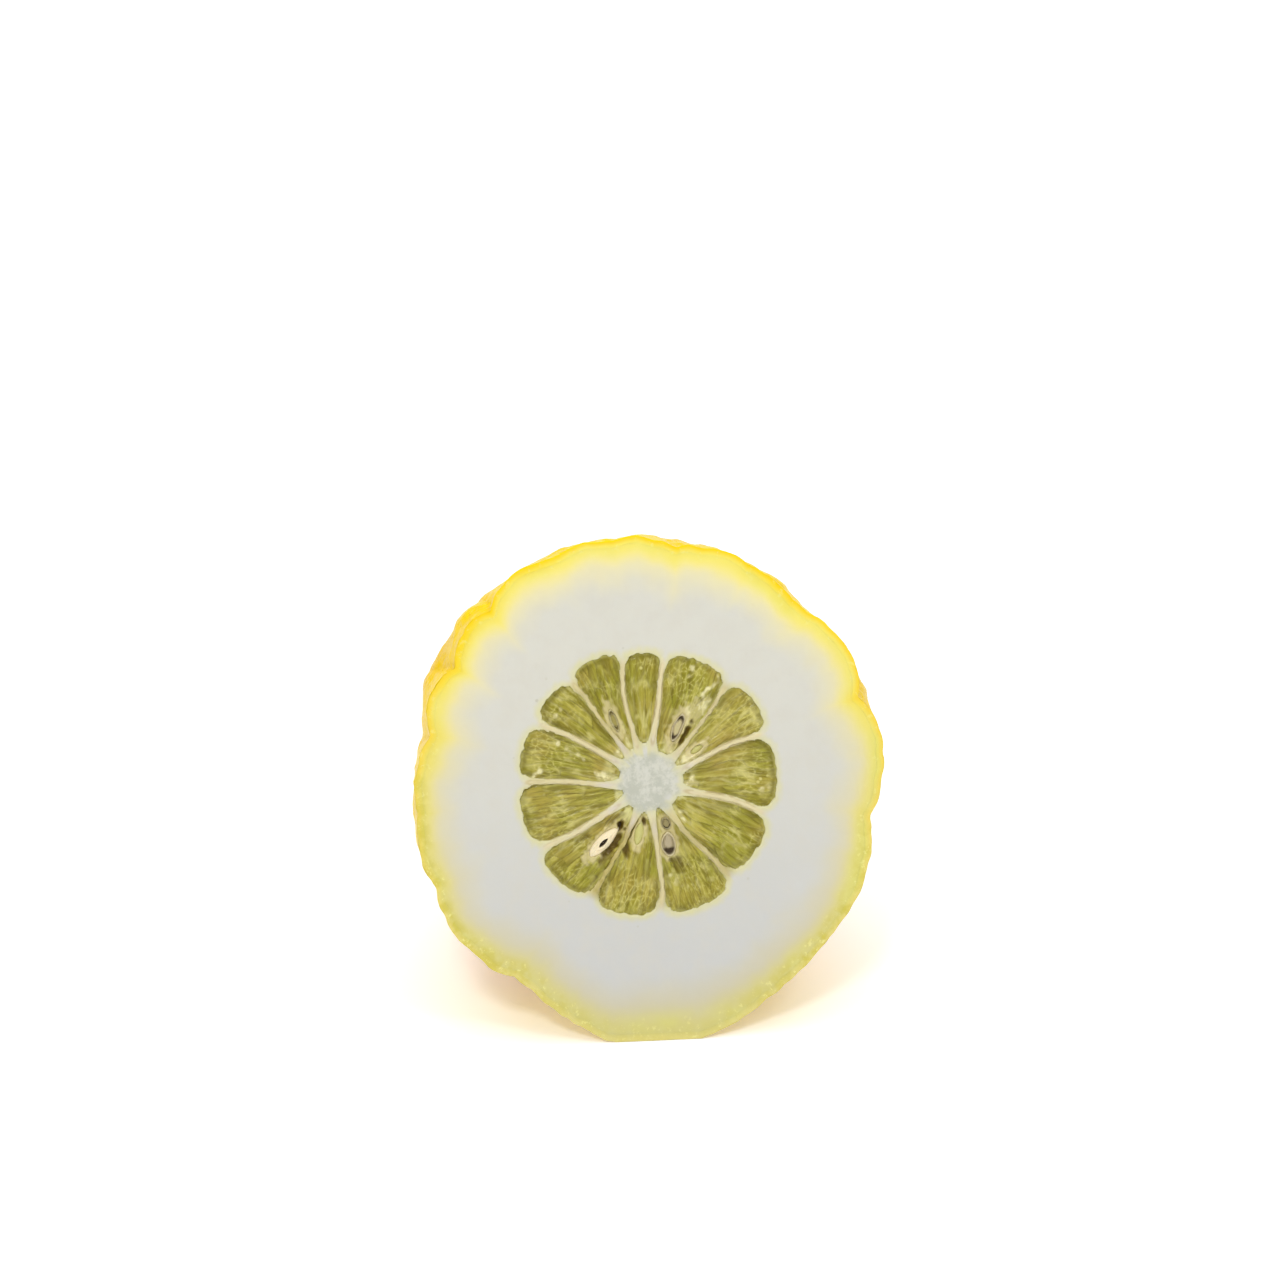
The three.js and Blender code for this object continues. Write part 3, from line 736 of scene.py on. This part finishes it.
def seedRings(seed):
    # A pointed oval, narrower towards the core. A cut seed's top is level: a kernel in a bowl, inside a ring
    # of coat. A whole one's is domed.
    turn = np.linspace(0, 2 * np.pi, seedShape["columns"], endpoint=False)
    lengthways, sideways = around(1, turn)
    long, wide, angle = seed["long"] / 2, seed["wide"] / 2, seed["angle"]
    slim = 1 - seedShape["taper"] * np.maximum(0, -lengthways) ** 1.5
    slim = slim * (1 + 0.07 * np.sin(3 * turn + angle) + 0.04 * np.sin(5 * turn + angle * 2))
    rise = np.radians(np.linspace(seedShape["crownAngle"], -90, seedShape["rows"]))
    width, height = np.cos(rise), wide * seedShape["tallness"] * np.sin(rise) - seedShape["sink"]
    opening, kernel = seed["open"], seed["kernel"] * seed["open"]
    if opening:
        keep = height < seed["top"] - 0.06
        width, height = width[keep], height[keep]
        bowl = np.linspace(0, opening, 14)
        lip = opening + (width[0] - opening) * np.array([0.25, 0.5, 0.75, 0.95])
        width = np.concatenate([bowl, lip, width])
        lipRise = seed["top"] + np.array([0.05, 0.07, 0.05, 0])
        height = np.concatenate([np.full(len(bowl), seed["top"]), lipRise, height])
    else:
        crown = np.linspace(0, 0.9, 6) * width[0]
        height = np.concatenate([height[0] + 0.12 * wide * (1 - (crown / width[0]) ** 2), height])
        width = np.concatenate([crown, width])
    width, height = width[:, None], height[:, None]
    outward = lengthways * np.minimum(width / max(opening, 0.1), 1)
    # Painted shade: how deep the groove round the kernel is cut and how dark it is painted, all round,
    # towards the ends or on the outer side.
    dark = {"all": 1, "ends": 0.35 + 0.65 * ease(0.3, 0.75, np.abs(outward)),
            "outer": 0.5 + 0.5 * ease(0.2, 0.5, outward)}[seed["dark"]]
    fromKernel = np.hypot(width * lengthways + seed["shift"], width * sideways)
    groove, level = np.zeros_like(outward), 0
    if opening:
        groove = ease(kernel * 0.8, kernel * 1.1 + 0.02, fromKernel) * dark
        groove = groove * (1 - ease(opening * 0.8, opening * 0.98, width))
        level = 1 - ease(opening * 0.85, opening, width)
    along, across = width * long * lengthways, width * wide * sideways * slim
    wrinkle = 0.06 * waves(stacked(along * 0.5, across * 3, height), 1.6, 20, 7) * ease(0.1, 0.5, width)
    direction = math.radians(angle)
    pointsOut = math.cos(direction) * seed["x"] + math.sin(direction) * seed["y"] > 0
    direction += 0 if pointsOut else math.pi
    x, y = turned(along, across, direction)
    values = {
        "groove": groove,
        "kernel": 1 - ease(kernel * 0.9, kernel * 1.02, fromKernel) if kernel else 0 * width,
        "lengthwise": along,
        "crosswise": across,
    }
    height = height + wrinkle - seedShape["grooveDepth"] * groove - seedShape["levelDepth"] * level
    return stacked(x + seed["x"], y + seed["y"], height), values


button = {
    # Radius against distance from the face, along the axis: the peg, the collar and the stub of the stalk.
    "profile": (
        (0, 71), (2.4, 71), (2.4, 75.8), (3.4, 76.6), (5.2, 76.9), (6, 77.4), (6, 78), (5.2, 78.8),
        (4.3, 79.2), (3.9, 79.5), (3.7, 80.2), (3.5, 81.4), (3.2, 82), (2.7, 82.1), (1.8, 81.8), (0, 81.7),
    ),
    # The collar's lobes: angle, how far each reaches beyond the collar and half its width in degrees.
    "lobes": ((8, 0.52, 20), (62, 0.16, 26), (112, 0.1, 22), (160, 0.24, 26), (214, 0.14, 24),
              (262, 0.26, 28), (316, 0.12, 20)),
    "lobesBeyond": 3.9,
    "columns": 220,
    "rows": 100,
}


def buttonRings():
    # The profile at even steps of its length, turned round the axis, its collar drawn out into uneven lobes
    # that curl up a little.
    profile = np.transpose(button["profile"])
    radius, along = (line[:, None] for line in evenly(*profile, profile, button["rows"], closed=False))
    turn = np.linspace(0, 2 * np.pi, button["columns"], endpoint=False)
    collar = ease(button["lobesBeyond"], 5.8, radius)
    reach = sum(far * bell(degreesFrom(turn, centre), half) for centre, far, half in button["lobes"])
    wide = radius * (1 + reach * collar)
    spot = stacked(*around(wide, turn), along)
    rough = 0.16 * waves(spot, 3.2, 24, 61) + 0.07 * waves(spot, 1.1, 30, 62)
    ribs = 0.1 * np.cos(17 * turn + 2 * np.sin(3 * turn)) * ease(3.6, 5, radius) * ease(76.9, 77.6, along)
    curl = (0.9 * reach - 0.1) * ease(4.5, 6, radius) * ease(76.2, 77.2, along)
    shown = ease(76, 77, along) * ease(0, 0.8, radius)
    wide = wide + rough * shown
    height = along + (rough + ribs + curl) * shown
    x, y = around(wide, turn)
    top = ease(81.2, 81.6, along)
    values = {
        "rib": ribs + rough,
        "stub": ease(79.2, 79.9, along),
        "ring": top * bell(radius - 3, 0.55),
        "endGrain": top * ease(2.6, 2.1, radius),
        "edge": ease(5, 6, radius),
    }
    return stacked(x + stemX, y + stemY, -height), values


def fleshColour(recipe, depth, furrow, at):
    # Colour against distance from the skin: oily lemon, then a pale glow that reaches further in under the
    # furrows, then
    # white. Painted light and shade: the tones are lighter and the lemon more vivid towards the top, and
    # duller towards the bottom. The underside is also mottled with olive and with paler gland specks.
    unripe, = recipe.values("unripe")
    patch = recipe.noise(at, 85, 2).step(0.3, 0.7)
    # Painted light and shade: several tones below change with height above the floor, lighter towards the
    # top.
    height = recipe.node("SeparateXYZ", {}, {0: at}, 2)
    paintedTopLight = height.step(0, 0.1)
    glow = depth / (1.5 + 0.5 * patch + 0.17 * furrow + 0.7 * height.step(0.03, 0.004))
    cloud = recipe.noise(at, 220).step(0.4, 0.7)
    white = recipe.coats((203, 203, 200), ((216, 214, 202), height.step(0, 0.085)),
                         ((211, 207, 194), cloud * 0.35))
    cream = recipe.coats((207, 199, 166), ((238, 228, 172), paintedTopLight), (white, glow.step(1.6, 7)))
    lime = recipe.noise(at, 70, 2).step(0.5, 0.66) * glow.step(3, 0.7)
    vivid = recipe.noise(at, 55, 2).step(0.6, 0.38) * glow.step(1.9, 0.4) * height.step(0.05, 0.085)
    lemon = recipe.coats((212, 204, 132), ((246, 230, 108), paintedTopLight), (cream, glow.step(0.9, 3.6)),
                         ((222, 220, 110), lime * 0.4), ((248, 216, 20), vivid * 0.75))
    olive = recipe.noise(at, 300, 4, 0.6).step(0.36, 0.62) * glow.step(2.4, 0.6) * unripe
    glands = recipe.noise(at, 800, 3, 0.65).step(0.57, 0.68) * glow.step(2.6, 0.6) * glow.step(0, 0.25)
    return recipe.coats(
        (225, 213, 134),
        ((250, 213, 20), paintedTopLight),
        (lemon, glow.step(0, 0.9)),
        ((204, 190, 62), olive * 0.65),
        ((246, 240, 160), glands * (0.3 + 0.3 * unripe)),
    )


def paintRind():
    recipe = Recipe("waxyRind")
    at = recipe.place()
    cut, depth, furrow, toRim = recipe.values("cut", "skinDepth", "furrow", "toRim")
    fromStem, unripe, crack = recipe.values("fromStem", "unripe", "crack")
    glands = recipe.spots("SMOOTH_F1", at, 900, Randomness=0.9, Smoothness=0.4)
    pits = glands.step(0.6, 0) * recipe.noise(at, 120, 2).step(0.25, 0.6)
    # Real darker marks round the stem button, mottled.
    stainsAndShade = fromStem.step(12, 7) * recipe.noise(at, 300, 4, 0.65).step(0.35, 0.6)
    gold = recipe.coats(
        (220, 155, 0),
        ((234, 178, 0), recipe.noise(at, 26).step(0.35, 0.62)),
        ((242, 198, 0), recipe.noise(at, 60).step(0.5, 0.7) * 0.7),
        # Painted shade: darker orange in the furrows, and faintly in the gland pits.
        ((206, 136, 0), furrow.step(0.9, 3.4) * 0.55),
        ((210, 148, 0), pits * 0.08),
        ((160, 104, 14), recipe.noise(at, 150, 5, 0.7).step(0.72, 0.82) * 0.3),
        ((246, 212, 2), toRim.step(36, 2) * 0.85),
        ((206, 192, 40), unripe * 0.5),
        ((150, 88, 14), stainsAndShade * 0.7),
        ((112, 62, 12), crack.step(0.15, 0.7) * 0.85),
    )
    pebbles, crinkles = recipe.noise(at, 430), recipe.noise(at, 190, 2, 0.4)
    outer = 1 - cut
    relief = (pebbles * 0.8 + crinkles * 1.6 - pits * 0.4) * outer
    relief = relief + recipe.noise(at, 1500, 4, 0.7) * cut * 0.3
    return recipe.finish({
        "Base Color": recipe.mix(gold, fleshColour(recipe, depth, furrow, at), cut),
        "Roughness": 0.3 + 0.12 * pebbles + 0.2 * cut,
        "Coat Weight": 0.16 * outer,
        "Coat Roughness": 0.12,
        "Subsurface Weight": 0.05,
        "Subsurface Radius": (1, 0.8, 0.3),
        "Subsurface Scale": 0.001,
        "Specular IOR Level": 0.03,
        "Normal": recipe.bump(relief, 0.0005, 0.9),
    })


def paintPith():
    recipe = Recipe("spongyPith")
    at = recipe.place()
    inPetal, septum, core, faint = recipe.values("inPetal", "septum", "coreness", "faint")
    depth, furrow, out = recipe.values("skinDepth", "furrow", "out")
    uneven = recipe.noise(at, 300)
    membrane = (inPetal - 1.2 * recipe.noise(at, 160, 2)).step(-2.6, -0.5)
    lilac = septum * out.step(14, 8) * recipe.noise(at, 120, 1).step(0.4, 0.6)
    # Painted shade: tan on the sloping flanks of the raised walls.
    stainsAndShade = septum.step(0.2, 0.6) * septum.step(0.95, 0.7) * recipe.noise(at, 220).step(0.45, 0.65)
    coreGrain = recipe.noise(at, 1000, 4, 0.7) * 0.6 + recipe.noise(at, 260, 2) * 0.4
    dots = recipe.spots("F1", at, 330, Randomness=1)
    dots = dots.step(0.16, 0.08) * inPetal.step(-4, -2.2) * inPetal.step(-0.8, -1.4)
    sponge = recipe.noise(at, 900, 4, 0.6)
    colour = recipe.coats(
        fleshColour(recipe, depth, furrow, at),
        (recipe.mix((224, 217, 168), (212, 208, 136), uneven), membrane * 0.8),
        (recipe.mix((228, 214, 168), (216, 199, 158), uneven), septum * 0.8),
        (recipe.mix((172, 158, 84), (200, 186, 122), recipe.noise(at, 200, 2).step(0.4, 0.6)), faint * 1.4),
        ((214, 206, 200), lilac * 0.8),
        ((190, 172, 122), stainsAndShade * 0.6),
        (recipe.mix((188, 189, 173), (211, 210, 196), coreGrain.step(0.4, 0.6)), core * 0.9),
        ((158, 146, 72), inPetal.step(-0.05, 0.25)),
        ((188, 184, 160), dots * 0.5),
    )
    return recipe.finish({
        "Base Color": colour,
        "Roughness": 0.45 + 0.2 * sponge,
        "Subsurface Weight": 0.3,
        "Subsurface Radius": (1, 0.9, 0.7),
        "Subsurface Scale": 0.0018,
        "Specular IOR Level": 0.4,
        "Normal": recipe.bump(sponge, 0.00012, 0.5),
    })


def paintPulp():
    recipe = Recipe("juicyPulp")
    at = recipe.place()
    sac, seam, side, inside, fan, out = recipe.values("sac", "seam", "side", "inside", "fan", "out")
    beside, hollow, shadowAmount, lip, pale = recipe.values("beside", "hollow", "shadowAmount", "lip", "pale")
    # Streaks of three widths lie lengthwise in the sacs. Towards the outer end the sacs' small ends show as
    # cells.
    broad = recipe.noise(recipe.joined(fan * 0.9, out * 0.12, sac * 3), 1, 3, 0.5)
    fibres = recipe.noise(recipe.joined(fan * 2.4, out * 0.3, sac * 5), 1, 3, 0.6)
    fine = recipe.noise(recipe.joined(fan * 5.5, out * 0.8, sac * 5), 1, 3, 0.6)
    patch = recipe.noise(at, 110, 2)
    clear = recipe.noise(at, 130, 1).step(0.42, 0.6)  # where the streaks show
    ends = recipe.spots("DISTANCE_TO_EDGE", recipe.joined(fan * 1, out * 0.62, 0), 1, Randomness=1)
    cellular = out.step(15, 21) * recipe.noise(at, 120, 2).step(0.44, 0.6)
    lines = seam.step(0.5, 0) * recipe.noise(at, 240, 2).step(0.44, 0.64) * (0.4 + 0.6 * clear)
    # Painted highlights: small pale specks that stand in for sparkles of light on the wet sacs.
    paintedGlints = recipe.spots("F1", at, 560, Randomness=1)
    paintedGlints = paintedGlints.step(0.28, 0.1) * recipe.noise(at, 170, 2).step(0.56, 0.68)
    # Painted shade: dark spots just inside the segments' outer ends, and darker olive in a band just inside
    # each outline, where the pulp lies below the walls and the pith.
    edgeShadeSpots = inside.step(2.2, 0.3) * recipe.noise(at, 480, 2).step(0.46, 0.58) * out.step(15, 23)
    shadeInsideOutline = inside.step(1.7, 0.8) * recipe.noise(at, 160, 2).step(0.46, 0.62)
    edge = inside.step(0.8, 0) * recipe.noise(at, 360).step(0.36, 0.58)
    uneven = recipe.noise(at, 300)
    membrane = (beside + 0.5 * recipe.noise(at, 180, 2)).step(0.58, 0.28)
    nearCore = recipe.noise(at, 330, 2).step(0.42, 0.58) * out.step(11, 7.5)
    wet = recipe.noise(at, 430).step(0.46, 0.62)
    # Painted shade and shadow: the hollows are painted dark olive by their depth, and a mottled painted
    # shadow lies beside the seeds, darkest at its core.
    shade = hollow.step(0.1, 0.6)
    paintedShadow = shadowAmount * (0.4 + 1.2 * recipe.noise(at, 420))
    colour = recipe.coats(
        (146, 136, 30),
        ((176, 166, 62), sac),
        ((184, 158, 74), patch.step(0.46, 0.7) * 0.65),
        ((146, 148, 24), patch.step(0.52, 0.32) * 0.55),
        ((146, 138, 28), out.step(15, 26) * 0.3),
        ((114, 102, 6), broad.step(0.52, 0.34) * 0.7),
        ((196, 186, 92), broad.step(0.54, 0.7) * 0.45),
        ((200, 189, 92), fibres.step(0.48, 0.72) * (0.15 + 0.5 * clear)),
        ((104, 92, 6), fibres.step(0.46, 0.28) * (0.2 + 0.4 * clear)),
        # Painted shade: a dark line along one side of each sac's seam.
        ((108, 96, 8), seam.step(0.5, 0.1) * side.step(0, 0.4) * 0.45),
        ((112, 104, 8), ends.step(0.12, 0.4) * cellular * 0.5),
        ((212, 204, 116), ends.step(0.16, 0) * cellular * fine.step(0.35, 0.6) * 0.65),
        ((222, 213, 134), lines * 0.7),
        ((216, 207, 118), fine.step(0.55, 0.78) * (0.12 + 0.5 * clear)),
        ((236, 228, 150), paintedGlints * 0.6),
        ((92, 84, 4), edgeShadeSpots * 0.42),
        ((112, 102, 8), shadeInsideOutline * 0.5),
        ((192, 186, 108), edge * 0.6),
        (recipe.mix((224, 212, 158), (208, 190, 146), uneven), membrane * 0.9),
        ((232, 227, 160), nearCore * 0.75),
        (recipe.mix((199, 188, 124), (244, 236, 182), wet), pale * 0.95),
        ((216, 202, 148), lip * 0.75),
        ((98, 84, 0), shade * (0.6 + 0.4 * broad.step(0.62, 0.4))),
        ((96, 74, 12), paintedShadow.step(0.1, 0.7) * 0.9),
        ((38, 22, 2), paintedShadow.step(0.5, 1)),
    )
    return recipe.finish({
        "Base Color": colour,
        "Roughness": 0.28 + 0.2 * fine,
        "Coat Weight": 0.15 - 0.15 * shade,
        "Coat Roughness": 0.1,
        "Subsurface Weight": 0.15,
        "Subsurface Radius": (1, 0.95, 0.3),
        "Subsurface Scale": 0.001,
        "Specular IOR Level": 0.32,
        "Normal": recipe.bump(fibres * 0.6 + fine * 0.4, 0.00025, 0.8),
    })


def paintSeed(name, coat, kernelColour, dark):
    recipe = Recipe(name)
    groove, kernel, lengthwise, crosswise = recipe.values("groove", "kernel", "lengthwise", "crosswise")
    lines = recipe.noise(recipe.joined(lengthwise * 0.5, crosswise * 4, 0), 1)
    return recipe.finish({
        # The dark tone also paints shade into the groove round the kernel.
        "Base Color": recipe.coats(coat, (dark, lines.step(0.54, 0.8) * 0.3), (kernelColour, kernel),
                                   (dark, groove * 0.95)),
        "Roughness": 0.32 + 0.25 * lines,
        "Coat Weight": 0.1,
        "Coat Roughness": 0.15,
        "Specular IOR Level": 0.25,
        "Subsurface Weight": 0.15,
        "Subsurface Radius": (1, 0.8, 0.5),
        "Subsurface Scale": 0.001,
        "Normal": recipe.bump(lines, 0.00012, 0.7),
    })


def paintButton():
    recipe = Recipe("driedStem")
    at = recipe.place()
    rib, stub, ring, endGrain, edge = recipe.values("rib", "stub", "ring", "endGrain", "edge")
    grain, wood = recipe.noise(at, 700, 5, 0.7), recipe.noise(at, 1200, 3, 0.7)
    colour = recipe.coats(
        (142, 140, 40),
        ((176, 170, 76), grain.step(0.35, 0.65)),
        ((116, 92, 34), recipe.noise(at, 240).step(0.5, 0.68) * 0.7),
        # Painted shade: darker in the low parts of the ribs and of the rough relief.
        ((88, 64, 24), rib.step(0, -0.2) * 0.6),
        ((74, 46, 14), edge * grain.step(0.35, 0.6) * 0.75),
        ((150, 146, 62), stub * 0.8),
        ((206, 202, 112), ring),
        (recipe.mix((128, 98, 70), (176, 148, 112), wood.step(0.35, 0.65)), endGrain),
    )
    return recipe.finish({
        "Base Color": colour,
        "Roughness": 0.6 + 0.25 * grain,
        "Specular IOR Level": 0.35,
        "Normal": recipe.bump(grain + 0.5 * wood, 0.00045, 0.9),
    })


ringMesh("rindSkin", *rindRings(), paintRind(), "rind", "rind")
ringMesh("pithAndCore", *pithRings(), paintPith(), "pith", "pith")
pulpFinish = paintPulp()
for index in range(segments):
    node = f"pulp_{index + 1:02d}"
    ringMesh(f"segment_{index + 1:02d}", *pulpRings(index), pulpFinish, "pulp", node)
# Each seed finish: the tone of the coat, of the kernel and of the gap round it. The gap's dark tone is
# painted shade in the groove, over the darker inner seed coat.
seedTones = {
    "openSeed": ((222, 208, 164), (196, 184, 134), (58, 36, 8)),
    "slitSeed": ((244, 228, 190), (244, 228, 190), (40, 22, 2)),
    "greySeed": ((218, 204, 162), (180, 166, 134), (54, 34, 10)),
    "smallSeed": ((200, 188, 140), (150, 138, 92), (74, 56, 20)),
    "thinSeed": ((210, 200, 146), (158, 146, 78), (134, 118, 58)),
    "greenSeed": ((202, 197, 124), (202, 197, 124), (164, 156, 72)),
}
seedFinishes = {name: paintSeed(name, *tones) for name, tones in seedTones.items()}
for number, seed in enumerate(seeds, 1):
    node = f"seed_{number:02d}"
    ringMesh(f"pip_{number:02d}", *seedRings(seed), seedFinishes[seed["finish"]], "seed", node)
ringMesh("stemEnd", *buttonRings(), paintButton(), "stem", "stem_button")

studio = {
    "floorSize": 8,
    "floorGap": 0.0001,  # how far the floor lies below the fruit
    "floorTones": ((246, 246, 246), (243, 243, 244)),
    "floorGlow": 0.22,
    "worldStrength": 0.4,
    "azimuth": -5,
    "elevation": 27,
    "lens": 75,
    "sensor": 36,
    "seen": (0.02, 40),  # metres from the camera
    "frameSize": 1280,  # pixels across the square view
    "corePixel": (649, 782),  # where the fruit's core appears in it
    "pixelSize": 0.000215,  # metres at the core
    # Lamps: place, width, height and watts. The first is a wide sheet of light overhead.
    "lamps": (
        ((0, 0.8, 2.8), 4, 4, 82),
        ((-0.35, -0.85, 1.25), 0.3, 0.25, 6.5),
        ((0.6, -0.6, 1.3), 0.25, 0.25, 2),
    ),
}


def makeFloor():
    # A plain sheet just under the fruit, with a faint mottle.
    half = studio["floorSize"] / 2
    mesh = bpy.data.meshes.new("floor")
    corners = (-half, -half), (half, -half), (half, half), (-half, half)
    mesh.from_pydata([(x, y, -studio["floorGap"]) for x, y in corners], [], [(0, 1, 2, 3)])
    recipe = Recipe("paleFloor")
    mesh.materials.append(recipe.finish({
        "Base Color": recipe.mix(*studio["floorTones"], recipe.noise(recipe.place(), 3, 2)),
        "Roughness": 0.6,
        "Specular IOR Level": 0.2,
        "Emission Color": (1, 1, 1, 1),
        "Emission Strength": studio["floorGlow"],
    }))
    floor = bpy.data.objects.new("floor", mesh)
    bpy.context.scene.collection.objects.link(floor)


def makeLamp(number, spot, width, height, watts):
    data = bpy.data.lights.new(f"lamp{number}", "AREA")
    data.shape = "RECTANGLE"
    data.size, data.size_y, data.energy = width, height, watts
    lamp = bpy.data.objects.new(f"lamp{number}", data)
    turn = (-Vector(spot)).to_track_quat("-Z", "Y")
    lamp.matrix_world = Matrix.Translation(spot) @ turn.to_matrix().to_4x4()
    bpy.context.scene.collection.objects.link(lamp)


def makeCamera():
    # The camera looks along one azimuth and elevation, turned so that the core falls on its pixel.
    azimuth, elevation = math.radians(studio["azimuth"]), math.radians(studio["elevation"])
    back = Vector((math.sin(azimuth) * math.cos(elevation), -math.cos(azimuth) * math.cos(elevation),
                   math.sin(elevation)))
    right = Vector((math.cos(azimuth), math.sin(azimuth), 0))
    data = bpy.data.cameras.new("camera")
    data.lens, data.sensor_width = studio["lens"], studio["sensor"]
    focus = studio["lens"] / data.sensor_width * studio["frameSize"]  # focal length in pixels
    core = Vector((0, -fruit["weightSetback"], fruit["coreHeight"])) / 1000
    distance = studio["pixelSize"] * focus
    middle = studio["frameSize"] / 2
    aside = (studio["corePixel"][0] - middle) * studio["pixelSize"]
    below = (studio["corePixel"][1] - middle) * studio["pixelSize"]
    spot = core + back * distance
    aim = core - right * aside + back.cross(right) * below
    camera = bpy.data.objects.new("camera", data)
    turn = (aim - spot).to_track_quat("-Z", "Y")
    camera.matrix_world = Matrix.Translation(spot) @ turn.to_matrix().to_4x4()
    data.clip_start, data.clip_end = studio["seen"]
    bpy.context.scene.collection.objects.link(camera)
    bpy.context.scene.camera = camera


makeFloor()
for number, lamp in enumerate(studio["lamps"]):
    makeLamp(number, *lamp)
makeCamera()
world = bpy.data.worlds.new("paleRoom")
world.use_nodes = True
world.node_tree.nodes["Background"].inputs["Color"].default_value = (1, 1, 1, 1)
world.node_tree.nodes["Background"].inputs["Strength"].default_value = studio["worldStrength"]
bpy.context.scene.world = world
bpy.context.scene.view_settings.view_transform = "Standard"
print("floor, light and camera ready")
